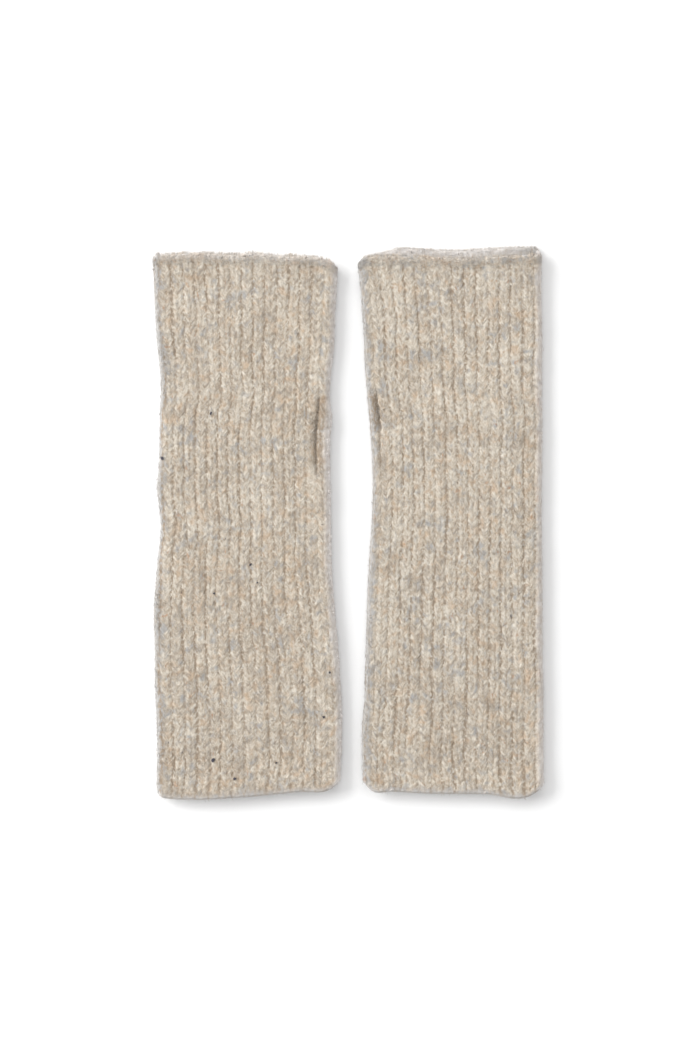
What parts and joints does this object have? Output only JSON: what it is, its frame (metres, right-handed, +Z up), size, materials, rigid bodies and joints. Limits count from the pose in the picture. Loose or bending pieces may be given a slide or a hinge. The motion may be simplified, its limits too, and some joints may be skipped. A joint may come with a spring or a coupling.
{
  "type": "pair of knitted arm warmers",
  "caption": "Ribbed arm warmers in felted wool, laid flat side by side: tubes open at both ends, with a thumb slit left in the seam.",
  "frame": {"origin": "middle of the pair's bounding box, on the surface that it lies on", "axes": "+Y along the ribs towards the fingers, +X across the pair from the left one to the right one as seen from above, +Z up out of the surface"},
  "size_m": [0.204, 0.2878, 0.0071],
  "materials": {
    "felted_wool": "matt heathered oat wool, rib knit, lightly felted with a short soft nap"
  },
  "bodies": {
    "root": {"left_arm_warmer": "felted_wool", "right_arm_warmer": "felted_wool"}
  },
  "joints": []
}
